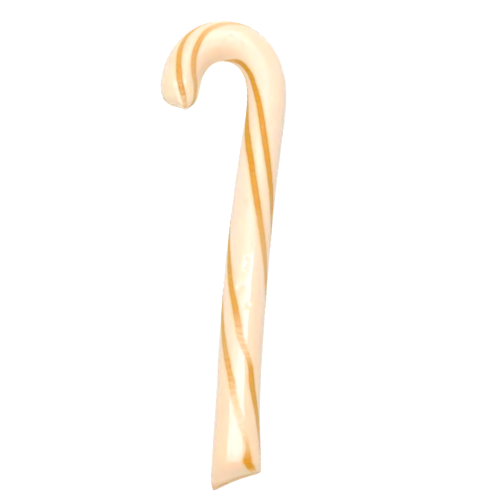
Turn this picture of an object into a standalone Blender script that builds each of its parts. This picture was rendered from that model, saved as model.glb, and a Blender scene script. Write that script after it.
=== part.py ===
"""Candy cane: one stick of pulled sugar, bent to a crook and sheared at both ends.

The cane lies on a table, +Z up. Its shaft runs along +Y with a slight lean to the right,
and its crook turns to the left, towards -X. The origin is under the middle of its box.
"Along" is the distance on the centre line from the foot, and "across" is the sideways
distance from it, positive on the outer side of the crook. An angle round the section is
zero on top and grows towards that outer side. Lengths are in metres, angles in degrees.
"""
import math

import bmesh
import bpy
import numpy as np
from mathutils import Vector

# The centre line
STICK_LENGTH = 0.18385
FOOT_LEAN = 0.16            # degrees off +Y where the shaft starts
SHAFT_BOW = 71.0            # degrees of lean gained per metre of shaft
CROOK_START = 0.1135
CROOK_EASE = 0.0352         # length over which the bend grows to its full strength
CROOK_RADIUS = 0.01303
TIP_START = 0.1642
TIP_EASE = 0.0046
TIP_RADIUS = 0.01906        # the last stretch bends less than the crook

# The stick's half width
SHAFT_RADIUS = 0.00713
FOOT_FLARE = 0.00104        # the foot is squeezed wider by the shears
FLARE_LENGTH = 0.0332
CROOK_THINNING = 0.00079
THINNING_START = 0.0519
THINNING_END = 0.1429
CROOK_SWELL = 0.00017
SWELL_START = 0.1333
SWELL_END = 0.1486

# The sheared foot: a slanted, slightly hollow cut behind a pinched slope
FOOT_PINCH = 0.0100
FOOT_LIP = 0.0030           # half thickness at the cut
FOOT_CORNER = 0.0014
FOOT_DRIFT = -0.0001        # the flare spreads further to the left
FOOT_TUCK = 0.06            # share by which the long left corner is drawn in
TUCK_LENGTH = 0.0045
CUT_SETBACK = 0.0023        # from the lowest corner to the line between the corners
CUT_SLANT = 0.395
CUT_HOLLOW = 0.0008

# The sheared tip: blunt and rounded, its outer half cut back over a small lower lip
TIP_ROUND = 0.0120          # length over which the outline closes
TIP_FULLNESS = 3.0          # exponent of that outline, 2 being an ellipse
TIP_PINCH = 0.0085
TIP_LIP = 0.0036
TIP_CORNER = 0.0014
TIP_SETBACK = 0.0022
SETBACK_START = -0.0011
SETBACK_END = 0.0022
NUB_REACH = 0.0009
NUB_PLACE = 0.0026
NUB_WIDTH = 0.0016

# The stripes and the twist that winds them
STRIPE_PLACES = (0.0, 59.0, 172.0, 224.0)
STRIPE_WIDTH = 18.0
FOOT_ANGLE = 52.0           # where the first stripe meets the foot
TWIST_KNOTS = (0.024, 0.036, 0.126, 0.133, 0.142, 0.148, 0.174, 0.177)
TWIST_RATES = (1850, 2530, 2530, 1390, 1390, 4940, 4940, 1540)    # degrees per metre

# The underside is settled flat where the warm stick lay
SETTLING = 0.00035

# The mesh
RAIL_STEP = 0.00025
RAIL_OVERRUN = 0.002        # the rail runs past both ends, for slanted rings
COLUMN_STEP = 14.0
SHAFT_RING_STEP = 0.0025
CROOK_RING_STEP = 0.0015
CAP_RINGS = (0.66, 0.33)

CREAM = (0.98, 0.79, 0.58, 1.0)
AMBER = (0.80, 0.36, 0.06, 1.0)


def smooth(value):
    """Ease from 0 to 1 with level ends."""
    part = np.clip(value, 0.0, 1.0)
    return part * part * (3.0 - 2.0 * part)


def soft_clamp(value, softness=0.25):
    """Rise in a straight line to 1, with a rounded knee."""
    if value < 1.0 - softness:
        return value
    if value > 1.0 + softness:
        return 1.0
    return value - (value - 1.0 + softness) ** 2 / (4.0 * softness)


def edge_inset(distance, radius):
    """How far a quarter-round edge is drawn in at a distance from the end."""
    if distance >= radius:
        return 0.0
    return radius - math.sqrt(radius ** 2 - (radius - distance) ** 2)


def rise_between(along, start, end):
    return smooth((along - start) / (end - start))


def grow_from_foot(along, rate):
    """Sum a rate along the rail so that the total is zero at the foot."""
    total = np.cumsum(rate) * RAIL_STEP
    return total - np.interp(0.0, along, total)


def make_rail():
    """Integrate the bend along the stick into a centre line and a twist."""
    along = np.arange(-RAIL_OVERRUN, STICK_LENGTH + RAIL_OVERRUN, RAIL_STEP)
    bend_on = rise_between(along, CROOK_START, CROOK_START + CROOK_EASE)
    bend_off = rise_between(along, TIP_START, TIP_START + TIP_EASE)
    crook_bend = (1.0 - bend_off) / CROOK_RADIUS + bend_off / TIP_RADIUS
    bend = math.radians(SHAFT_BOW) * (1.0 - bend_on) - bend_on * crook_bend
    bent = grow_from_foot(along, bend)
    heading = math.radians(FOOT_LEAN) + bent
    twist_rate = np.interp(along, TWIST_KNOTS, TWIST_RATES)
    return {
        "along": along,
        "x": grow_from_foot(along, np.sin(heading)),
        "y": grow_from_foot(along, np.cos(heading)),
        "heading": heading,
        "twist": FOOT_ANGLE - grow_from_foot(along, twist_rate),
    }


RAIL = make_rail()


def on_rail(name, along):
    return float(np.interp(along, RAIL["along"], RAIL[name]))


def stick_radius(along):
    """Half thickness of the stick away from its pinched ends."""
    thinning = CROOK_THINNING * rise_between(along, THINNING_START, THINNING_END)
    swell = CROOK_SWELL * rise_between(along, SWELL_START, SWELL_END)
    return SHAFT_RADIUS - thinning + swell


def half_width(along):
    to_tip = STICK_LENGTH - along
    flare = FOOT_FLARE * smooth(1.0 - along / FLARE_LENGTH)
    width = stick_radius(along) + flare - edge_inset(along, FOOT_CORNER)
    if to_tip < TIP_ROUND:
        outline = 1.0 - (1.0 - to_tip / TIP_ROUND) ** TIP_FULLNESS
        width *= outline ** (1.0 / TIP_FULLNESS)
    return width


def half_thickness(along):
    radius = stick_radius(along)
    to_tip = STICK_LENGTH - along
    if along < CROOK_START:
        pinch = soft_clamp(along / FOOT_PINCH)
        return FOOT_LIP + (radius - FOOT_LIP) * pinch - edge_inset(along, FOOT_CORNER)
    pinch = soft_clamp(to_tip / TIP_PINCH)
    return TIP_LIP + (radius - TIP_LIP) * pinch - edge_inset(to_tip, TIP_CORNER)


def foot_shift(along, across):
    """Slant the rings near the foot towards the cut."""
    fade = max(0.0, 1.0 - along / FOOT_PINCH)
    hollow = CUT_HOLLOW * (1.0 - (across / SHAFT_RADIUS) ** 2)
    return fade * (CUT_SETBACK + CUT_SLANT * across + hollow)


def tip_shift(along, across, height):
    """Set the outer half of the tip back, and leave the lower lip standing out."""
    to_tip = STICK_LENGTH - along
    fade = max(0.0, 1.0 - to_tip / TIP_PINCH)
    setback = TIP_SETBACK * rise_between(across, SETBACK_START, SETBACK_END)
    nub = NUB_REACH * math.exp(-((across - NUB_PLACE) / NUB_WIDTH) ** 2)
    below = float(smooth(-height / TIP_LIP))
    return fade * (nub * below * fade ** 2 - setback)


def surface_point(along, angle, scale=1.0):
    """A point of the stick's skin, or of an end face where scale is under 1."""
    turned = math.radians(on_rail("twist", along) + angle)
    across = scale * half_width(along) * math.sin(turned)
    if across < 0.0:
        across *= 1.0 - FOOT_TUCK * smooth(1.0 - along / TUCK_LENGTH)
    height = scale * half_thickness(along) * math.cos(turned)
    shifted = along + foot_shift(along, across) + tip_shift(along, across, height)
    heading = on_rail("heading", shifted)
    across += FOOT_DRIFT * smooth(1.0 - along / FLARE_LENGTH)
    return Vector((
        on_rail("x", shifted) + across * math.cos(heading),
        on_rail("y", shifted) - across * math.sin(heading),
        stick_radius(along) - SETTLING + height,
    ))


def make_columns():
    """Angles of the mesh columns, two to a stripe, and which strips are amber."""
    angles = []
    striped = []
    following = STRIPE_PLACES[1:] + (STRIPE_PLACES[0] + 360.0,)
    for place, next_place in zip(STRIPE_PLACES, following):
        stripe_end = place + STRIPE_WIDTH / 2
        gap = next_place - STRIPE_WIDTH / 2 - stripe_end
        gap_count = math.ceil(gap / COLUMN_STEP)
        angles += [place - STRIPE_WIDTH / 2, place]
        angles += [stripe_end + gap * index / gap_count for index in range(gap_count)]
        striped += [True, True] + [False] * gap_count
    return angles, striped


def make_stations():
    """Where the rings stand along the stick, closer where the shape turns faster."""
    foot = [FOOT_CORNER * part for part in (0.0, 0.1, 0.35, 0.7)]
    pinch_end = FOOT_PINCH * 1.3
    foot += list(np.arange(FOOT_CORNER, pinch_end, CROOK_RING_STEP))
    shaft = list(np.arange(pinch_end, CROOK_START, SHAFT_RING_STEP))
    tip_start = STICK_LENGTH - TIP_ROUND
    crook_count = round((tip_start - CROOK_START) / CROOK_RING_STEP)
    crook = list(np.linspace(CROOK_START, tip_start, crook_count, endpoint=False))
    parts_left = np.linspace(1.0, 0.15, 12)
    tip = [STICK_LENGTH - TIP_ROUND * part ** 2 for part in parts_left]
    return foot + shaft + crook + tip


def corners_of(geometry):
    return [item for item in geometry if isinstance(item, bmesh.types.BMVert)]


def open_edges(geometry):
    edges = [item for item in geometry if isinstance(item, bmesh.types.BMEdge)]
    return [edge for edge in edges if edge.is_boundary]


def place_ring(corners, column, angles, along, scale=1.0):
    for corner in corners:
        corner.co = surface_point(along, angles[corner[column]], scale)


def grow_ring(stick, edges, column, angles, along, scale=1.0):
    """Extrude the open end of the stick to its next ring."""
    grown = bmesh.ops.extrude_edge_only(stick, edges=edges)["geom"]
    place_ring(corners_of(grown), column, angles, along, scale)
    return open_edges(grown)


def close_end(stick, edges, column, angles, along):
    """Draw the last ring in over the end face and close it on a middle point."""
    for scale in CAP_RINGS:
        edges = grow_ring(stick, edges, column, angles, along, scale)
    centre_face = bmesh.ops.contextual_create(stick, geom=edges)["faces"]
    bmesh.ops.poke(stick, faces=centre_face)


def make_stick():
    angles, striped = make_columns()
    stations = make_stations()
    stick = bmesh.new()
    column = stick.verts.layers.int.new("column")
    circle = bmesh.ops.create_circle(stick, segments=len(angles), radius=SHAFT_RADIUS)
    for index, corner in enumerate(circle["verts"]):
        corner[column] = index
    place_ring(circle["verts"], column, angles, stations[0])
    foot_edges = list(stick.edges)
    edges = foot_edges
    for along in stations[1:]:
        edges = grow_ring(stick, edges, column, angles, along)
    paint_stripes(stick, column, striped)
    close_end(stick, edges, column, angles, stations[-1])
    close_end(stick, foot_edges, column, angles, stations[0])
    bmesh.ops.recalc_face_normals(stick, faces=stick.faces)
    return stick


def paint_stripes(stick, column, striped):
    """Give the amber material to the strips of faces between a stripe's columns."""
    for face in stick.faces:
        indices = sorted({corner[column] for corner in face.verts})
        wraps = indices[-1] - indices[0] > 1
        strip = indices[-1] if wraps else indices[0]
        face.material_index = int(striped[strip])


def centre_on_origin(stick):
    for axis in (0, 1):
        reach = [corner.co[axis] for corner in stick.verts]
        middle = (min(reach) + max(reach)) / 2
        for corner in stick.verts:
            corner.co[axis] -= middle


def sugar_material(name, colour, roughness):
    material = bpy.data.materials.new(name)
    material.use_nodes = True
    shader = material.node_tree.nodes["Principled BSDF"]
    shader.inputs["Base Color"].default_value = colour
    shader.inputs["Roughness"].default_value = roughness
    shader.inputs["Metallic"].default_value = 0.0
    material.diffuse_color = colour
    return material


def make_collection(name):
    collection = bpy.data.collections.new(name)
    bpy.context.scene.collection.children.link(collection)
    return collection


def make_table(collection):
    """A block whose top is the table's surface, used to cut the underside flat."""
    bpy.ops.mesh.primitive_cube_add(size=1.0)
    table = bpy.context.active_object
    table.name = "table"
    depth = 0.01
    table.location = (0.0, 0.0, -depth / 2)
    table.scale = (2 * STICK_LENGTH, 2 * STICK_LENGTH, depth)
    table.hide_render = True
    table.display_type = "WIRE"
    for owner in table.users_collection:
        owner.objects.unlink(table)
    collection.objects.link(table)
    return table


def main():
    for thing in list(bpy.data.objects):
        bpy.data.objects.remove(thing, do_unlink=True)
    parts = make_collection("candy_cane")
    cutters = make_collection("cutters")

    stick = make_stick()
    centre_on_origin(stick)
    mesh = bpy.data.meshes.new("cane")
    stick.to_mesh(mesh)
    stick.free()
    mesh.materials.append(sugar_material("cream_sugar", CREAM, 0.2))
    mesh.materials.append(sugar_material("amber_stripe", AMBER, 0.2))
    mesh.shade_smooth()
    mesh.set_sharp_from_angle(angle=math.radians(50))
    cane = bpy.data.objects.new("cane", mesh)
    parts.objects.link(cane)

    settle = cane.modifiers.new("settled_underside", "BOOLEAN")
    settle.operation = "DIFFERENCE"
    settle.solver = "EXACT"
    settle.object = make_table(cutters)


main()
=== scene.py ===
# %% [markdown]
# # A candy cane of pulled sugar
# A hand-made candy cane starts as a thick log of white pulled sugar with thin ropes of
# coloured sugar laid along it. The log is stretched and rolled into a stick, so the ropes
# wind round it, and the warm stick is sheared off at both ends and bent over to a crook.
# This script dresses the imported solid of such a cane: a finely modelled skin, the sugar
# it is made of, and a plain studio to look at it in.

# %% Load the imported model
import math

import bpy
import numpy as np
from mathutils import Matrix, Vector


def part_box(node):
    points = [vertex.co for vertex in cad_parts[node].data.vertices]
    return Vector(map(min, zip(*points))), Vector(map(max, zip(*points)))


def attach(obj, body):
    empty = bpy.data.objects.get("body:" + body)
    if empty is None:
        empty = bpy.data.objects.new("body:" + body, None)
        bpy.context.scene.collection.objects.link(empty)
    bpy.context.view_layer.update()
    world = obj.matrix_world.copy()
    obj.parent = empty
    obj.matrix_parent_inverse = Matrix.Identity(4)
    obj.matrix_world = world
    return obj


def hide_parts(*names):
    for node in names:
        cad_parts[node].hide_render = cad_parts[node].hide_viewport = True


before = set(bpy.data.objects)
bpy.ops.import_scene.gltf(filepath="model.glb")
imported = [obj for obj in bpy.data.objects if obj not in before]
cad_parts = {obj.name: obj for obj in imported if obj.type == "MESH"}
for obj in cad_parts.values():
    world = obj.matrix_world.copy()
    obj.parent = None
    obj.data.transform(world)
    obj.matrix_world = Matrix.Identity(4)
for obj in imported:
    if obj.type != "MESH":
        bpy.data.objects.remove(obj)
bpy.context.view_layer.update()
cane_low, cane_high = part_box("cane")
MM = 0.001
print("cane box in mm", [round(float(edge) / MM, 2) for edge in (*cane_low, *cane_high)])

# %% [markdown]
# ## Writing node trees as sums
# Both the shape and the colours below are rules, and a rule is easiest to read as a sum.
# One could place every Math node by hand, but a small class that wraps a socket lets
# Python's own signs build them: `wide * 2 + 1` adds two Math nodes. Every other node
# comes from one method, which takes its settings first and its inputs after.

# %% A socket that can be reckoned with
class Wire:
    """An output socket in a node tree. Sums on it add Math nodes."""

    def __init__(self, tree, socket=None):
        self.tree = tree
        self.socket = socket

    def node(self, kind, settings=None, inputs=None, output=0):
        """Add a node of any kind and return the wire of one of its outputs."""
        made = self.tree.nodes.new(kind)
        for name, value in (settings or {}).items():
            setattr(made, name, value)
        for name, value in (inputs or {}).items():
            if isinstance(value, Wire):
                self.tree.links.new(value.socket, made.inputs[name])
            else:
                made.inputs[name].default_value = value
        return Wire(self.tree, made.outputs[output] if made.outputs else None)

    def other(self, output):
        """Another output of the node that this wire leaves."""
        return Wire(self.tree, self.socket.node.outputs[output])

    def math(self, operation, *terms):
        numbered = dict(enumerate(terms))
        return self.node("ShaderNodeMath", {"operation": operation}, numbered)

    def __add__(self, term):
        return self.math("ADD", self, term)

    def __radd__(self, term):
        return self.math("ADD", term, self)

    def __sub__(self, term):
        return self.math("SUBTRACT", self, term)

    def __rsub__(self, term):
        return self.math("SUBTRACT", term, self)

    def __mul__(self, term):
        return self.math("MULTIPLY", self, term)

    def __rmul__(self, term):
        return self.math("MULTIPLY", term, self)

    def __truediv__(self, term):
        return self.math("DIVIDE", self, term)

    def __pow__(self, term):
        return self.math("POWER", self, term)

    def __neg__(self):
        return self.math("MULTIPLY", self, -1.0)

    def ease(self, start, end):
        """Rise smoothly from 0 at start to 1 at end."""
        limits = {"Value": self, "From Min": start, "From Max": end}
        settings = {"interpolation_type": "SMOOTHSTEP"}
        return self.node("ShaderNodeMapRange", settings, limits)


def join(tree, x, y, z):
    """A vector from three numbers or wires."""
    return Wire(tree).node("ShaderNodeCombineXYZ", None, {"X": x, "Y": y, "Z": z})


def add_vectors(first, *others):
    """The sum of several vectors."""
    for other in others:
        first = first.node("ShaderNodeVectorMath", {"operation": "ADD"}, {0: first, 1: other})
    return first


def scaled(vector, length):
    """A vector made longer or shorter."""
    inputs = {"Vector": vector, "Scale": length}
    return vector.node("ShaderNodeVectorMath", {"operation": "SCALE"}, inputs)

# %% [markdown]
# ## The stick's centre line
# The stick was bent by hand round a peg, so its curve has no straight line or true arc:
# it leans a little all the way up the shaft, bends more and more into the crook, and
# loosens again at the tip. Such a line could be drawn with a few curve handles, but
# here the bend at each distance from the foot follows a rule, as it does in the solid,
# and adding the bend up gives the line. Lengths are in metres from here on.

# %% Sizes of the centre line
STICK_LENGTH = 0.18385
FOOT_LEAN = 0.16                # degrees
SHAFT_BOW = 71.0                # degrees of lean gained per metre
CROOK_START = 0.1135
CROOK_EASE = 0.0352
CROOK_RADIUS = 0.01303
TIP_START = 0.1642
TIP_EASE = 0.0046
TIP_RADIUS = 0.01906
print("the stick is", round(STICK_LENGTH / MM, 1), "mm long when straight")

# %% [markdown]
# ## How thick the stick is
# A pulled stick is thickest where the hands let go and thins where they stretched it:
# here it flares at the foot, thins up the shaft, and swells a little where the bend
# pushes the sugar together. One radius for all of it would look like a pipe. Each
# change is a soft step between two places on the centre line.

# %% Sizes of the stick's half width
SHAFT_RADIUS = 0.00713
FOOT_FLARE = 0.00104
FLARE_LENGTH = 0.0332
FOOT_DRIFT = -0.0001            # the flare spreads further to the left
CROOK_THINNING = 0.00079
THINNING = (0.0519, 0.1429)
CROOK_SWELL = 0.00017
SWELLING = (0.1333, 0.1486)
SETTLING = 0.00035              # how much the warm stick sank on its flat underside
print("the shaft is", round(2.0 * SHAFT_RADIUS / MM, 1), "mm across")

# %% [markdown]
# ## The sheared ends
# Shears pinch warm sugar flat before they part it. The foot is cut on a slant and a
# little hollow, its long corner is tucked in, and its short corner is worn. The tip is
# blunt, and a small nub hangs on at its lower lip. A flat cap would be simpler, but
# the pinch and the lip are what tells a hand-made cane from a moulded one.

# %% Sizes of the two ends
FOOT_PINCH = 0.0100
FOOT_LIP = 0.0030               # half the thickness of the cut face
FOOT_CORNER = 0.0014
FOOT_TUCK = 0.06                # share of the half width, on the left
TUCK_LENGTH = 0.0045
WORN_CORNER = 0.09              # share of the half width, on the right
WORN_LENGTH = 0.0026
FOOT_DOME = 0.0001

TIP_ROUND = 0.0120
TIP_FULLNESS = 3.0
TIP_PINCH = 0.0085
TIP_LIP = 0.0036
TIP_CORNER = 0.0014
TIP_OPENING = 0.15              # where the rounding stops and the cap takes over
CUT_BACK = (-0.0011, 0.0022)    # across the tip, where the cut back half begins
NUB_PLACE = 0.0026
NUB_WIDTH = 0.0016
for name, lip in (("foot", FOOT_LIP), ("tip", TIP_LIP)):
    print("the cut face of the", name, "is", round(2.0 * lip / MM, 1), "mm thick")

# %% [markdown]
# ## The twist and the net of faces
# The stick was rolled as it was stretched, so the ropes wind round it, faster where it
# was thin and soft. The twist could be one number; here it is a rate at each of a few
# places, because the crook was twisted again while it was bent. The rings of the skin
# lie close enough together for a dent a millimetre wide.

# %% Sizes of the twist and of the net
FOOT_ANGLE = 52.0
TWIST_KNOTS = (0.024, 0.036, 0.126, 0.133, 0.142, 0.148, 0.174, 0.177)
TWIST_RATES = (1850, 2530, 2530, 1390, 1390, 4940, 4940, 1540)    # degrees per metre

RING_STEP = 0.00038
ROUND_COUNT = 168
FOOT_RINGS = 10
TIP_RINGS = 40
CAP_SCALES = (0.0, 0.12, 0.25, 0.38, 0.5, 0.62, 0.72, 0.82, 0.9, 0.96)
print("one turn takes about", round(360.0 / TWIST_RATES[1] / MM), "mm of shaft")


# %% Rules that the stick follows
def ease(value, start, end):
    part = np.clip((value - start) / (end - start), 0.0, 1.0)
    return part * part * (3.0 - 2.0 * part)


def soft_clamp(value, softness=0.25):
    """Rise in a straight line to 1, with a rounded knee."""
    knee = value - (value - 1.0 + softness) ** 2 / (4.0 * softness)
    bent = np.where(value < 1.0 - softness, value, knee)
    return np.where(value > 1.0 + softness, 1.0, bent)


def edge_inset(distance, radius):
    """How far a quarter-round edge is drawn in near an end."""
    depth = np.clip(radius - distance, 0.0, radius)
    return radius - np.sqrt(radius ** 2 - depth ** 2)


def stick_radius(along):
    thinning = CROOK_THINNING * ease(along, *THINNING)
    return SHAFT_RADIUS - thinning + CROOK_SWELL * ease(along, *SWELLING)


def half_width(along):
    flare = FOOT_FLARE * ease(1.0 - along / FLARE_LENGTH, 0.0, 1.0)
    width = stick_radius(along) + flare - edge_inset(along, FOOT_CORNER)
    to_tip = np.clip((STICK_LENGTH - along) / TIP_ROUND, 0.0, 1.0)
    return width * (1.0 - (1.0 - to_tip) ** TIP_FULLNESS) ** (1.0 / TIP_FULLNESS)


def half_thickness(along):
    radius = stick_radius(along)
    to_tip = STICK_LENGTH - along
    foot = FOOT_LIP + (radius - FOOT_LIP) * soft_clamp(along / FOOT_PINCH)
    tip = TIP_LIP + (radius - TIP_LIP) * soft_clamp(to_tip / TIP_PINCH)
    foot -= edge_inset(along, FOOT_CORNER)
    tip -= edge_inset(to_tip, TIP_CORNER)
    return np.where(along < CROOK_START, foot, tip)


def bend_at(along):
    bend_on = ease(along, CROOK_START, CROOK_START + CROOK_EASE)
    bend_off = ease(along, TIP_START, TIP_START + TIP_EASE)
    crook = (1.0 - bend_off) / CROOK_RADIUS + bend_off / TIP_RADIUS
    return math.radians(SHAFT_BOW) * (1.0 - bend_on) - bend_on * crook


for place in (0.0, 0.05, 0.15):
    print("half width at", round(place / MM), "mm:", round(float(half_width(place)) / MM, 2))

# %% Add the bend up into a line
def centre_line(stations):
    """Where each station lies, which way the stick runs there, and its turn."""
    step = 0.0001
    fine = np.arange(-0.002, STICK_LENGTH + 0.002, step)

    def grow_from_foot(rate):
        total = np.cumsum(rate) * step
        return total - np.interp(0.0, fine, total)

    heading = math.radians(FOOT_LEAN) + grow_from_foot(bend_at(fine))
    turned = grow_from_foot(np.interp(fine, TWIST_KNOTS, TWIST_RATES))
    return {
        "x": np.interp(stations, fine, grow_from_foot(np.sin(heading))),
        "y": np.interp(stations, fine, grow_from_foot(np.cos(heading))),
        "heading": np.interp(stations, fine, heading),
        "turn": np.radians(FOOT_ANGLE - np.interp(stations, fine, turned)),
    }


def stations_and_scales():
    """Rings along the skin, then rings that shrink to a point over each end face."""
    last = STICK_LENGTH - TIP_ROUND * TIP_OPENING ** 2
    tip_start = STICK_LENGTH - TIP_ROUND
    foot = FOOT_CORNER * np.linspace(0.0, 1.0, FOOT_RINGS) ** 1.5
    count = round((tip_start - FOOT_CORNER) / RING_STEP)
    middle = np.linspace(FOOT_CORNER, tip_start, count + 1)[1:]
    parts = np.linspace(1.0, TIP_OPENING, TIP_RINGS)[1:]
    tip = STICK_LENGTH - TIP_ROUND * parts ** 2
    skin = np.concatenate([foot, middle, tip])
    cap = np.array(CAP_SCALES)
    dome = 1.0 - cap ** 2
    foot_cap = -FOOT_DOME * dome
    tip_cap = last + (STICK_LENGTH - last) * dome[::-1]
    stations = np.concatenate([foot_cap, skin, tip_cap])
    scales = np.concatenate([cap, np.ones(len(skin)), cap[::-1]])
    return stations, scales


STATIONS, SCALES = stations_and_scales()
ON_STICK = np.clip(STATIONS, 0.0, STICK_LENGTH - TIP_ROUND * TIP_OPENING ** 2)
LINE = centre_line(STATIONS)
print(len(STATIONS), "rings; the line reaches", round(float(LINE["y"].max()) / MM, 1), "mm up")

# %% [markdown]
# ## Where the amber ropes run
# Four ropes of amber sugar were laid along the log, and the rolling hands moved each of
# them a little, so no two keep the same distance all the way. Even spacing would look
# printed. Each rope gets a few marks along the stick: how far it strays from its place
# in degrees, how wide it was rolled, and how much of it shows, from 0 where it sank
# under the white to 1 where it lies on top.

# %% The four ropes, in millimetres from the foot
ROPES = (
    {
        "place": 0.0,
        "strays": ((3, -3), (10, -6), (14, 3), (17, 4), (27, -4), (31, -5), (36, -1), (48, -2),
                   (150, 8), (157, 11), (162, 4), (172, 9), (179, 14)),
        "widths": ((3, 0.8), (5, 1.2), (11, 1.3), (14, 0.5), (16, 0.5), (19, 1)),
        "shows": ((2, 0), (5, 1), (11, 1), (14, 0.5), (16, 0.5), (18, 0.1), (25, 0.1), (31, 0.3),
                  (36, 0.7), (50, 0.8), (145, 0.8), (152, 0.4), (156, 0.5), (161, 0.9),
                  (171, 0.6), (181, 0.6)),
    },
    {
        "place": 59.0,
        "strays": ((17, -3), (33, -7), (37, -4), (40, 1), (43, 1), (46, -5), (50, -8), (59, -3),
                   (66, -5), (72, -3), (160, 0), (169, -4), (172, -2), (175, 5), (181, 2)),
        "widths": ((36, 1), (42, 0.7), (48, 1)),
        "shows": ((4, 0.5), (16, 0.6), (30, 0.9), (41, 0.9), (43, 0.5), (46, 0.4), (52, 0.5),
                  (58, 0.9), (160, 0.7), (172, 0.9), (178, 0.9), (182, 0.4)),
    },
    {
        "place": 172.0,
        "strays": ((71, -1), (94, 1), (105, 2), (110, -1), (118, -8)),
        "widths": ((104, 1), (112, 1.3)),
        "shows": ((60, 0.8), (72, 0.6), (88, 0.8), (94, 1), (118, 1), (181, 0.7)),
    },
    {
        "place": 224.0,
        "strays": ((89, -1), (96, 1), (103, 0), (124, -3), (132, -6), (150, -3)),
        "widths": ((0, 1), (184, 1)),
        "shows": ((86, 0.7), (100, 0.9), (116, 1), (141, 1), (150, 0.6), (181, 0.7)),
    },
)


def along_marks(marks):
    """Read a rope's marks at every station, smoothly from mark to mark."""
    at = np.array([mark[0] for mark in marks]) * MM
    value = np.array([mark[1] for mark in marks])
    fine = np.arange(0.0, STICK_LENGTH, 0.5 * MM)
    steps = np.interp(fine, at, value)
    reach = 4
    weights = np.hanning(2 * reach + 1)
    weights /= weights.sum()
    padded = np.pad(steps, reach, mode="edge")
    return np.interp(STATIONS, fine, np.convolve(padded, weights, mode="valid"))


print(len(ROPES), "ropes with", sum(len(rope["shows"]) for rope in ROPES), "marks")

# %% [markdown]
# ## How pale the white is
# The white is paler in some stretches than in others: warmer and darker at the foot and
# near the end of the bend, palest along the middle of the shaft and at the tip. Noise alone
# would spread the pale patches evenly, so the broad changes are marks along the stick
# too, from 0 where the white is warmest to 1 where it is palest.

# %% How pale the white is, at millimetres from the foot
PALENESS = ((0, 0.0), (30, 0.4), (80, 0.9), (135, 0.9), (155, 0.2), (183, 1.0))
print("palest at", max(PALENESS, key=lambda mark: mark[1])[0], "mm from the foot")

# %% [markdown]
# ## A rail that carries the sizes
# The rail is a row of points joined by edges. Each point also carries what the stick
# does there: its half width, its half thickness, how far it has twisted. Attributes on
# a mesh are the usual way to hand such values to Geometry Nodes, because every node
# can read them by name.

# %% Make the rail
def rope_attributes():
    values = {}
    for index, rope in enumerate(ROPES):
        values[f"rope_{index}"] = np.radians(rope["place"] + along_marks(rope["strays"]))
        values[f"width_{index}"] = along_marks(rope["widths"])
        values[f"shows_{index}"] = along_marks(rope["shows"])
    return values


def rail_attributes():
    heading = LINE["heading"]
    flat = np.zeros(len(STATIONS))
    to_foot = np.clip(1.0 - STATIONS / FOOT_PINCH, 0.0, 1.0)
    to_tip = np.clip(1.0 - (STICK_LENGTH - STATIONS) / TIP_PINCH, 0.0, 1.0)
    return {
        "side": np.stack([np.cos(heading), -np.sin(heading), flat], axis=1),
        "forward": np.stack([np.sin(heading), np.cos(heading), flat], axis=1),
        "bend": bend_at(STATIONS),
        "turn": LINE["turn"],
        "along": STATIONS,
        "wide": SCALES * half_width(ON_STICK),
        "thick": SCALES * half_thickness(ON_STICK),
        "drift": FOOT_DRIFT * ease(1.0 - STATIONS / FLARE_LENGTH, 0.0, 1.0),
        "tuck": FOOT_TUCK * ease(1.0 - STATIONS / TUCK_LENGTH, 0.0, 1.0),
        "worn": WORN_CORNER * np.clip(1.0 - STATIONS / WORN_LENGTH, 0.0, 1.0) ** 2,
        "foot_fade": to_foot,
        "tip_fade": to_tip,
        "paleness": along_marks(PALENESS),
        **rope_attributes(),
    }


def make_rail():
    points = np.stack([LINE["x"], LINE["y"], stick_radius(STATIONS) - SETTLING], axis=1)
    edges = [(index, index + 1) for index in range(len(points) - 1)]
    mesh = bpy.data.meshes.new("rail")
    mesh.from_pydata(points.tolist(), edges, [])
    values = rail_attributes()
    values["place"] = points
    for name, value in values.items():
        vector = value.ndim == 2
        kind = "FLOAT_VECTOR" if vector else "FLOAT"
        attribute = mesh.attributes.new(name, kind, "POINT")
        field = "vector" if vector else "value"
        attribute.data.foreach_set(field, value.astype(np.float32).ravel())
    rail = bpy.data.objects.new("candy_cane", mesh)
    bpy.context.scene.collection.objects.link(rail)
    return rail


cane = make_rail()
print("rail carries", len(cane.data.attributes), "attributes")

# %% [markdown]
# ## The skin, wrapped round the rail
# The skin could be a bevelled curve, but a bevel has one round section everywhere, and
# the sheared ends are flat and slanted. So a Geometry Nodes tree sweeps a circle along
# the rail, which only gives the right net of faces, and then moves every point to its
# place by the same rule as the solid: out to the side, up, and forwards where the
# shears cut the stick on a slant. Each column of faces follows the twist, so a rope
# runs along a few columns from end to end.

# %% Named inputs of the skin's tree
SKIN_INPUTS = {
    "Round count": ("NodeSocketInt", ROUND_COUNT),
    "Cut setback": ("NodeSocketFloat", 0.0023),
    "Cut slant": ("NodeSocketFloat", 0.395),
    "Cut hollow": ("NodeSocketFloat", 0.0008),
    "Tip setback": ("NodeSocketFloat", 0.0022),
    "Nub reach": ("NodeSocketFloat", 0.0009),
    "Unevenness": ("NodeSocketFloat", 0.12 * MM),
    "Dents": ("NodeSocketFloat", 0.045 * MM),
    "Finger dents": ("NodeSocketFloat", 0.3 * MM),
    "Bend wrinkles": ("NodeSocketFloat", 0.07 * MM),
    "Rope groove": ("NodeSocketFloat", 0.10 * MM),
    "Rope bead": ("NodeSocketFloat", 0.07 * MM),
    "Rope ripples": ("NodeSocketFloat", 0.06 * MM),
    "Seed": ("NodeSocketFloat", 4.0),
}
print(len(SKIN_INPUTS), "inputs")

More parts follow.
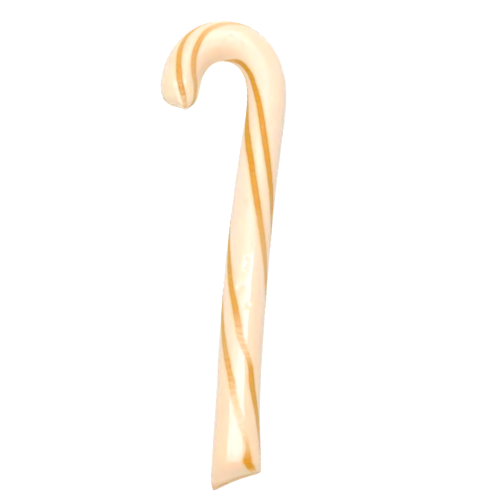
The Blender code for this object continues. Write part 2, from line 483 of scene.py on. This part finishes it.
# %% Where fingers pressed: mm from the foot, degrees round from the top, mm across
FINGER_DENTS = ((75, -3, 0.7), (73.5, 0, 0.6), (72, -5, 0.8), (66, -10, 0.9), (64.8, -18, 1.2),
                (60, 10, 1.0), (92, -27, 1.5), (154, -8, 1.0), (147.5, -5, 1.1), (151, 6, 1.0))
print(len(FINGER_DENTS), "finger dents")


# %% Start a tree, and read and keep values in it
def new_tree(name, inputs):
    """A Geometry Nodes tree with its geometry sockets and named inputs."""
    tree = bpy.data.node_groups.new(name, "GeometryNodeTree")
    ports = tree.interface
    ports.new_socket("Geometry", in_out="OUTPUT", socket_type="NodeSocketGeometry")
    ports.new_socket("Geometry", in_out="INPUT", socket_type="NodeSocketGeometry")
    for label, (kind, value) in inputs.items():
        ports.new_socket(label, in_out="INPUT", socket_type=kind).default_value = value
    group_input = Wire(tree).node("NodeGroupInput")
    return tree, group_input


def named(tree, name, kind="FLOAT"):
    """Read an attribute that the rail carries."""
    settings = {"data_type": kind}
    return Wire(tree).node("GeometryNodeInputNamedAttribute", settings, {"Name": name})


def store(geometry, name, value, kind="FLOAT"):
    """Keep a value on every point, for the sugar's colours to read."""
    inputs = {"Geometry": geometry, "Name": name, "Value": value}
    settings = {"data_type": kind, "domain": "POINT"}
    return geometry.node("GeometryNodeStoreNamedAttribute", settings, inputs)


# %% Where a point of the skin lies
TABLE_SHOULDER = 0.12 * MM


def skin_place(tree, ports):
    """The same sums as the solid's: side, height, and the shears' slant."""
    turned = named(tree, "turn") + named(tree, "round")
    across = named(tree, "wide") * turned.math("SINE", turned)
    height = named(tree, "thick") * turned.math("COSINE", turned)
    inner = across.math("LESS_THAN", across, 0.0)
    drawn_in = named(tree, "tuck") * inner + named(tree, "worn") * (1.0 - inner)
    across = across * (1.0 - drawn_in)

    hollow = ports.other("Cut hollow") * (1.0 - (across / SHAFT_RADIUS) ** 2.0)
    cut = ports.other("Cut setback") + ports.other("Cut slant") * across + hollow
    foot_shift = named(tree, "foot_fade") * cut

    setback = ports.other("Tip setback") * across.ease(*CUT_BACK)
    beside = (across - NUB_PLACE) / NUB_WIDTH
    swell = across.math("EXPONENT", -(beside * beside))
    below = (-height).ease(0.0, TIP_LIP)
    tip_fade = named(tree, "tip_fade")
    nub = ports.other("Nub reach") * swell * below * tip_fade * tip_fade
    shift = foot_shift + tip_fade * (nub - setback)
    shift = shift * (1.0 - named(tree, "bend") * across)

    return add_vectors(
        named(tree, "place", "FLOAT_VECTOR"),
        scaled(named(tree, "side", "FLOAT_VECTOR"), across + named(tree, "drift")),
        scaled(named(tree, "forward", "FLOAT_VECTOR"), shift),
        join(tree, 0.0, 0.0, height),
    )


def lie_on_table(tree):
    """Lift whatever would sink below the table, with a small soft shoulder."""
    position = Wire(tree).node("GeometryNodeInputPosition")
    split = position.node("ShaderNodeSeparateXYZ", None, {0: position})
    level = split.math("SMOOTH_MAX", split.other("Z"), 0.0, TABLE_SHOULDER)
    level = level.math("MAXIMUM", level, 0.0)
    return join(tree, split.other("X"), split.other("Y"), level)


# %% [markdown]
# ## The fine relief of the skin
# Fingers left shallow dents on the warm sugar, the bend wrinkled, and each rope lies in
# a groove of its own with a rippled back. All of it is under a third of a millimetre,
# so a bump in the material could fake it, but real dents also break up the highlights
# and stay in the mesh. Every height is a sum of soft hills, pushed out along the normal.

# %% Distance to the nearest rope
def rope_distances(tree):
    """Millimetres round the skin to the nearest rope, and how thick that rope shows."""
    turned = named(tree, "round")
    gaps = []
    for index in range(len(ROPES)):
        apart = turned - named(tree, f"rope_{index}")
        half_chord = apart.math("ABSOLUTE", apart.math("SINE", apart * 0.5))
        gaps.append(half_chord * (2.0 * SHAFT_RADIUS / MM) / named(tree, f"width_{index}"))
    nearest = gaps[0]
    for gap in gaps[1:]:
        nearest = nearest.math("MINIMUM", nearest, gap)
    shows = nearest * 0.0
    for index, gap in enumerate(gaps):
        own = gap.math("LESS_THAN", gap, nearest + 0.001)
        shows = shows.math("MAXIMUM", shows, own * named(tree, f"shows_{index}"))
    return nearest, shows


# %% Hills, dents and ripples, in millimetres along the stick
RIPPLE_SPACING = 2.2
BEND_BEGINS = (118.0, 132.0)
BEND_ENDS = (158.0, 170.0)


def noise(vector, scale, detail=2.0, seed=0.0):
    """Smooth random hills between -1 and 1."""
    inputs = {"Vector": vector, "W": seed, "Scale": scale, "Detail": detail}
    hills = vector.node("ShaderNodeTexNoise", {"noise_dimensions": "4D"}, inputs)
    return hills * 2.0 - 1.0


def finger_dents(tree, along, turned):
    """Shallow round hollows, 1 deep in the middle of each."""
    total = along * 0.0
    for place, angle, width in FINGER_DENTS:
        apart = turned.math("SINE", (turned - math.radians(angle)) * 0.5)
        across = apart * (2.0 * SHAFT_RADIUS / MM / width)
        lengthways = (along - place) * (1.0 / width)
        total = total + along.math("EXPONENT", -(across * across + lengthways * lengthways))
    return total


def rope_wave(position, along):
    """Uneven waves along the stick, between -1 and 1."""
    wobble = noise(position, 350.0, 1.0, 7.0) * 3.2
    return along.math("SINE", along * (2.0 * math.pi / RIPPLE_SPACING) + wobble)


def rope_relief(position, ports, along, gap):
    """A bead in a shallow groove, rippled across."""
    on_bead = 1.0 - gap.ease(0.35, 1.3)
    groove = (1.0 - gap.ease(0.0, 3.0)) * ports.other("Rope groove")
    ripples = rope_wave(position, along) * ports.other("Rope ripples")
    return on_bead * (ports.other("Rope bead") + ripples) - groove


def skin_relief(tree, ports):
    """Height of the skin above the plain rule, in metres."""
    position = Wire(tree).node("GeometryNodeInputPosition")
    seed = ports.other("Seed")
    along = named(tree, "along") / MM
    turned = named(tree, "turn") + named(tree, "round")

    hills = noise(position, 55.0, 1.0, seed) * ports.other("Unevenness")
    dents = noise(position, 260.0, 2.0, seed + 3.0) * ports.other("Dents")
    pressed = finger_dents(tree, along, turned) * ports.other("Finger dents")
    in_bend = along.ease(*BEND_BEGINS) * (1.0 - along.ease(*BEND_ENDS))
    wrinkles = noise(position, 190.0, 1.0, seed + 11.0) * ports.other("Bend wrinkles")
    rope = rope_relief(position, ports, along, named(tree, "off_rope"))
    return hills + dents + wrinkles * in_bend + rope - pressed


# %% Build the skin's tree
def make_skin_tree(material):
    tree, ports = new_tree("pulled_stick", SKIN_INPUTS)
    rail = ports.node("GeometryNodeMeshToCurve", None, {"Mesh": ports})
    circle_inputs = {"Resolution": ports.other("Round count"), "Radius": SHAFT_RADIUS}
    circle = ports.node("GeometryNodeCurvePrimitiveCircle", None, circle_inputs)
    index = ports.node("GeometryNodeInputIndex")
    angle = index / ports.other("Round count") * (2.0 * math.pi)
    circle = store(circle, "round", angle)
    sweep_inputs = {"Curve": rail, "Profile Curve": circle, "Fill Caps": False}
    skin = ports.node("GeometryNodeCurveToMesh", None, sweep_inputs)

    turned = named(tree, "round")
    facing = turned + named(tree, "turn")
    skin = store(skin, "inward", -facing.math("SINE", facing))
    nearest, shows = rope_distances(tree)
    skin = store(skin, "off_rope", nearest)
    skin = store(skin, "rope_shows", shows)
    place_inputs = {"Geometry": skin, "Position": skin_place(tree, ports)}
    skin = ports.node("GeometryNodeSetPosition", None, place_inputs)
    skin = ports.node("GeometryNodeMergeByDistance", None, {"Geometry": skin, "Distance": 1e-6})

    normal = ports.node("GeometryNodeInputNormal")
    lift = scaled(normal, skin_relief(tree, ports))
    skin = ports.node("GeometryNodeSetPosition", None, {"Geometry": skin, "Offset": lift})
    flat_inputs = {"Geometry": skin, "Position": lie_on_table(tree)}
    skin = ports.node("GeometryNodeSetPosition", None, flat_inputs)
    skin = ports.node("GeometryNodeSetShadeSmooth", None, {"Geometry": skin})

    skin = ports.node("GeometryNodeRealizeInstances", None, {"Geometry": skin})
    finish = {"Geometry": skin, "Material": material}
    skin = ports.node("GeometryNodeSetMaterial", None, finish)
    ports.node("NodeGroupOutput", None, {"Geometry": skin})
    return tree

# %% [markdown]
# ## The sugar
# Pulled sugar is white because of the fine air threads folded into it: light sinks in
# a little, scatters and comes back out warm. A plain diffuse colour would look like
# plaster, so the shader scatters light under the surface, and a clear coat over it
# gives the glassy skin of cooled syrup. The ropes of amber sugar have little air in
# them, so they are deeper, and they bleed into the white beside them.

# %% Colours of the sugar
def swatch(red, green, blue):
    """A paint-card colour from 0 to 255, made linear for the shader."""
    tone = []
    for value in (red, green, blue):
        part = value / 255.0
        tone.append(part / 12.92 if part <= 0.04045 else ((part + 0.055) / 1.055) ** 2.4)
    return (*tone, 1.0)


WARM_CREAM = swatch(243, 210, 150)      # where the white is warmest and darkest
PALE_CREAM = swatch(243, 219, 168)      # where the white is palest
FOOT_SLOPE_SHADE = swatch(216, 200, 150)       # painted shade on the foot's pinched slope
TIP_CREAM = swatch(242, 226, 165)
CUT_RIM_SHADE = swatch(208, 172, 108)         # painted shade on the rim of the cut
BLED_CREAM = swatch(243, 206, 132)      # beside a rope
ROPE_CORE = swatch(215, 156, 42)
ROPE_EDGE = swatch(196, 150, 64)
# painted shade across the rope's ripples
ROPE_RIPPLE_SHADE = swatch(176, 112, 58)
print("warm cream in linear light", [round(part, 3) for part in WARM_CREAM[:3]])

# %% Mix two colours; a Mix node keeps its colours at these places among its sockets
FIRST_COLOUR = 6
SECOND_COLOUR = 7
MIXED_COLOUR = 2


def mixed(factor, first, second):
    """A colour between two, by a factor from 0 to 1."""
    settings = {"data_type": "RGBA", "clamp_factor": True}
    inputs = {"Factor": factor, FIRST_COLOUR: first, SECOND_COLOUR: second}
    return factor.node("ShaderNodeMix", settings, inputs, MIXED_COLOUR)

# %% [markdown]
# ## The white
# The white is not one cream. It is paler in some stretches than in others, it carries
# painted shade on the foot's pinched slope, and painted shade along the rim of the cut.
# Towards the tip it is a little yellower, and its end carries painted shade too.
# Beside each rope a little amber has bled in. The layers could be painted by hand; here
# each is one mix, with a soft edge given in millimetres.

# %% Colour of the white
def carried(tree, name):
    """Read a value that the skin carries."""
    return Wire(tree).node("ShaderNodeAttribute", {"attribute_name": name}, None, "Fac")


def cream_colour(place, along, off_rope, shows):
    patches = carried(place.tree, "paleness") + noise(place, 70.0, 2.0, 5.0) * 0.35
    cream = mixed(patches, WARM_CREAM, PALE_CREAM)
    halo = (1.0 - off_rope.ease(1.0, 2.6)) * shows
    cream = mixed(halo, cream, BLED_CREAM)
    # painted shade on the foot's pinched slope, strongest within 3 mm of the cut, gone by 12 mm
    cream = mixed((1.0 - along.ease(3.0, 12.0)) * 0.5, cream, FOOT_SLOPE_SHADE)
    cream = mixed(along.ease(169.0, 177.0) * 0.5, cream, TIP_CREAM)
    # painted shade at the tip's cut end
    cream = mixed(along.ease(179.5, 183.0) * 0.2, cream, CUT_RIM_SHADE)
    # painted shade along the rim of the foot's cut
    return mixed((1.0 - along.ease(0.6, 3.2)) * 0.9, cream, CUT_RIM_SHADE)

# %% [markdown]
# ## The ropes
# Where a rope half sank under the white, between about 18 and 56 mm from the foot, the
# window's highlight crosses its rippled back: thin dark bands of painted shade and pale
# bands of painted glints lie across it, a little over two millimetres apart. They follow the
# same waves as the ripples in the skin, so colour and relief agree. A few dark bands are
# left out by a patchy noise, because an even row would look like a ruler.

# %% Colour of the ropes, in millimetres along the stick
GLINTS_BEGIN = (18.0, 26.0)
GLINTS_END = (50.0, 56.0)
RIPPLE_SHADE_BEGIN = (28.0, 38.0)


def ripple_glints_and_shade(place, along, shows):
    """Painted shade and painted glints across a half-sunk rope, each from 0 to 1."""
    wave = rope_wave(place, along)
    half_sunk = (shows * (1.0 - shows)).ease(0.15, 0.25)
    glinting = half_sunk * along.ease(*GLINTS_BEGIN) * (1.0 - along.ease(*GLINTS_END))
    some = noise(place, 200.0, 1.0, 12.0).ease(-0.15, 0.2)
    # painted shade in dark bands and painted glints in the pale gaps, where the highlight
    # crosses the ripples
    ripple_shade = wave.ease(0.45, 0.95) * glinting * some * along.ease(*RIPPLE_SHADE_BEGIN)
    gaps = (-wave).ease(0.55, 0.95) * glinting
    return ripple_shade, gaps


def rope_colour(along, off_rope, shows, ripple_shade):
    at_foot = 1.0 - along.ease(9.0, 14.0)
    deep = (1.0 - off_rope.ease(0.35, 0.9)) * shows
    amber = mixed(deep.math("MAXIMUM", deep, at_foot), ROPE_EDGE, ROPE_CORE)
    return mixed(ripple_shade * 0.55, amber, ROPE_RIPPLE_SHADE)

# %% [markdown]
# ## Gloss and light inside
# Cooled syrup is glassy, but less so on the amber, which dried uneven, and inside the
# bend, where the skin creased. One roughness for all would lose that, so the coat's
# weight changes over the skin while the rest of the shader stays constant.

# %% How much clear coat lies where
CREASE_BEGINS = (122.0, 134.0)
CREASE_ENDS = (165.0, 175.0)


def coat_weight(tree, along, off_rope):
    on_rope = 1.0 - off_rope.ease(0.8, 1.8)
    in_bend = along.ease(*CREASE_BEGINS) * (1.0 - along.ease(*CREASE_ENDS))
    creased = carried(tree, "inward").ease(0.05, 0.3) * in_bend
    return (1.0 - on_rope * 0.7) * (1.0 - creased * 0.65)


# %% Make the sugar
def make_sugar():
    sugar = bpy.data.materials.new("pulled_sugar")
    sugar.use_nodes = True
    tree = sugar.node_tree
    tree.nodes.clear()
    start = Wire(tree)
    place = start.node("ShaderNodeTexCoord", None, None, "Object")
    along = carried(tree, "along") / MM
    shows = carried(tree, "rope_shows")
    frayed = noise(place, 420.0, 3.0, 1.0) * 0.25
    off_rope = carried(tree, "off_rope") + frayed

    cream = cream_colour(place, along, off_rope, shows)
    ripple_shade, gaps = ripple_glints_and_shade(place, along, shows)
    # painted shade deepens the amber and the painted glints in the gaps pale it
    shows = shows + ripple_shade * 0.18 - gaps * 0.16
    amber = rope_colour(along, off_rope, shows, ripple_shade)
    colour = mixed((1.0 - off_rope.ease(0.7, 1.6)) * shows, cream, amber)

    constants = {
        "Subsurface Weight": 0.8,
        "Subsurface Radius": (1.0, 0.4, 0.2),
        "Subsurface Scale": 2.0 * MM,
        "Roughness": 0.45,
        "Specular IOR Level": 0.0,
        "Coat Roughness": 0.06,
        "Coat IOR": 1.5,
    }
    gloss = coat_weight(tree, along, off_rope)
    changing = {"Base Color": colour, "Coat Weight": gloss}
    shader = start.node("ShaderNodeBsdfPrincipled", None, {**constants, **changing})
    start.node("ShaderNodeOutputMaterial", None, {"Surface": shader})
    return sugar


sugar = make_sugar()
print("sugar has", len(sugar.node_tree.nodes), "nodes")

# %% [markdown]
# ## Put the skin in place
# The tree could stay live on the piece, but the sugar's colours and later users need a
# plain mesh. So the modifier gets its inputs, is evaluated once, and the result becomes
# the piece's own mesh.

# %% Grow the skin
def grow_skin(piece, tree):
    modifier = piece.modifiers.new("pulled stick", "NODES")
    modifier.node_group = tree
    for item in tree.interface.items_tree:
        if item.in_out == "INPUT" and item.name in SKIN_INPUTS:
            modifier[item.identifier] = SKIN_INPUTS[item.name][1]
    piece.update_tag()
    bpy.context.view_layer.update()
    ready = piece.evaluated_get(bpy.context.evaluated_depsgraph_get())
    mesh = bpy.data.meshes.new_from_object(ready)
    piece.modifiers.clear()
    piece.data = mesh
    mesh.name = "candy_cane"
    return mesh


def centre_on_model(mesh):
    """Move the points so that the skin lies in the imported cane's box."""
    points = np.empty(len(mesh.vertices) * 3, dtype=np.float32)
    mesh.vertices.foreach_get("co", points)
    points = points.reshape(-1, 3)
    middle = (points.max(axis=0) + points.min(axis=0)) / 2.0
    target = (np.array(cane_low) + np.array(cane_high)) / 2.0
    shift = target - middle
    shift[2] = cane_low[2] - points[:, 2].min()
    points += shift
    mesh.vertices.foreach_set("co", points.ravel())
    mesh.update()
    return points


skin = grow_skin(cane, make_skin_tree(sugar))
corners = centre_on_model(skin)
skin_size = corners.max(axis=0) - corners.min(axis=0)
print("skin size in mm", [round(float(size) / MM, 2) for size in skin_size])

# %% Keep only the values that the sugar reads
READ_BY_SUGAR = ("along", "off_rope", "rope_shows", "inward", "paleness")
for name in (*rail_attributes(), "place", "round"):
    if name in skin.attributes and name not in READ_BY_SUGAR:
        skin.attributes.remove(skin.attributes[name])
print("the skin still carries", [name for name in READ_BY_SUGAR if name in skin.attributes])

# %% Measure the skin
def signed_volume(mesh):
    """Volume inside the skin; it is positive when the faces look outwards."""
    mesh.calc_loop_triangles()
    total = 0.0
    for triangle in mesh.loop_triangles:
        a, b, c = (mesh.vertices[index].co for index in triangle.vertices)
        total += a.dot(b.cross(c)) / 6.0
    return total


triangles = sum(len(face.vertices) - 2 for face in skin.polygons)
print("skin triangles", triangles)
print("skin volume in cubic cm", round(signed_volume(skin) * 1e6, 2))

# %% [markdown]
# ## The table
# The cane lies on a light table, a white plate that glows a little, so that it stays
# white right up to the cane. A sheet of paper under the same lights would turn grey in
# the cane's shade. The plate is wide enough that no view from the side looks past it.

# %% Make the table
TABLE_HALF = 3.0
TABLE_GLOW = 0.84


def make_table():
    half = TABLE_HALF
    mesh = bpy.data.meshes.new("table")
    corners = [(-half, -half, 0.0), (half, -half, 0.0), (half, half, 0.0), (-half, half, 0.0)]
    mesh.from_pydata(corners, [], [(0, 1, 2, 3)])
    table = bpy.data.objects.new("table", mesh)
    bpy.context.scene.collection.objects.link(table)
    paint = bpy.data.materials.new("white_table")
    paint.use_nodes = True
    shader = paint.node_tree.nodes["Principled BSDF"]
    shader.inputs["Base Color"].default_value = (0.2, 0.2, 0.2, 1.0)
    shader.inputs["Roughness"].default_value = 0.7
    shader.inputs["Specular IOR Level"].default_value = 0.2
    shader.inputs["Emission Color"].default_value = (1.0, 0.995, 0.93, 1.0)
    shader.inputs["Emission Strength"].default_value = TABLE_GLOW
    mesh.materials.append(paint)
    return table


table = make_table()
print("the table is", 2.0 * TABLE_HALF, "m wide")

# %% [markdown]
# ## The window
# A round glossy stick mirrors whatever hangs over it as long soft highlights, so the
# light decides how the sugar looks. One big lamp would give one hard stripe. Here a
# tall window hangs level over the table in panes, each with its own brightness, as a
# real window is brighter in the middle and dim behind its bars. A weak lamp beyond the
# crook lights its outer edge. The daylight is bluish against the warm cream.

# %% Hang the panes of light
DAYLIGHT = (0.92, 0.945, 1.43)
WINDOW_HEIGHT = 0.50
NEAR_BARS = (-0.42, -0.15, 0.05, 0.29)
FAR_BARS = (-0.28, -0.09, 0.07, 0.25)
# each row: its upright bars, near and far edge in metres, and how bright its panes are
WINDOW_ROWS = (
    (NEAR_BARS, -0.40, -0.15, (3, 3, 3)),
    (NEAR_BARS, -0.15, -0.075, (5, 6, 5)),
    (NEAR_BARS, -0.075, 0.0, (2, 3, 6)),
    (FAR_BARS, 0.0, 0.20, (1, 2, 1)),
    (FAR_BARS, 0.20, 0.32, (2, 5, 3)),
    (FAR_BARS, 0.32, 0.52, (2, 4, 3)),
    (FAR_BARS, 0.52, 0.95, (3, 3, 3)),
)


def pane_of_light(name, left, right, near, far, height, brightness, tint):
    """A flat light that hangs level over the table. Edges in metres from its middle."""
    light = bpy.data.lights.new(name, "AREA")
    light.color = tint
    light.shape = "RECTANGLE"
    light.size = right - left
    light.size_y = far - near
    light.energy = brightness * light.size * light.size_y * math.pi
    lamp = bpy.data.objects.new(name, light)
    lamp.location = ((left + right) / 2.0, (near + far) / 2.0, height)
    bpy.context.scene.collection.objects.link(lamp)
    return lamp


def hang_window():
    """Panes between the upright bars, row by row."""
    count = 0
    for bars, near, far, row in WINDOW_ROWS:
        for left, right, brightness in zip(bars[:-1], bars[1:], row):
            edges = (left, right, near, far, WINDOW_HEIGHT)
            pane_of_light(f"pane_{count}", *edges, brightness, DAYLIGHT)
            count += 1
    return count


pane_count = hang_window()
back_light = pane_of_light("back_light", -0.7, 0.7, -0.4, 0.4, 0.45, 1.0, DAYLIGHT)
back_light.location = (0.0, 1.1, 0.45)
back_light.rotation_euler = (math.radians(-67.8), 0.0, 0.0)
print(pane_count, "panes and a back light")

# %% [markdown]
# ## The room and the camera
# The rest of the room gives a faint warm light from all sides, which keeps the shaded
# flanks from turning grey. The camera looks straight down from nearly half a metre with
# a long lens, so the cane keeps its true proportions and both ends are equally large.

# %% Light the room and place the camera
world = bpy.data.worlds.new("studio")
world.use_nodes = True
room = world.node_tree.nodes["Background"]
room.inputs["Color"].default_value = (1.0, 0.6, 0.35, 1.0)
room.inputs["Strength"].default_value = 0.12
bpy.context.scene.world = world

lens = bpy.data.cameras.new("camera")
lens.lens = 100.0
lens.sensor_width = 36.0
camera = bpy.data.objects.new("camera", lens)
camera.location = (0.0086, 0.0018, 0.457)
bpy.context.scene.collection.objects.link(camera)
bpy.context.scene.camera = camera
bpy.context.scene.view_settings.view_transform = "Standard"
print("the camera looks down from", round(camera.location.z, 3), "m")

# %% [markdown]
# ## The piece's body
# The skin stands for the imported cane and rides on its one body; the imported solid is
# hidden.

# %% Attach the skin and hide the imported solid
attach(cane, "root")
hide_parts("cane")

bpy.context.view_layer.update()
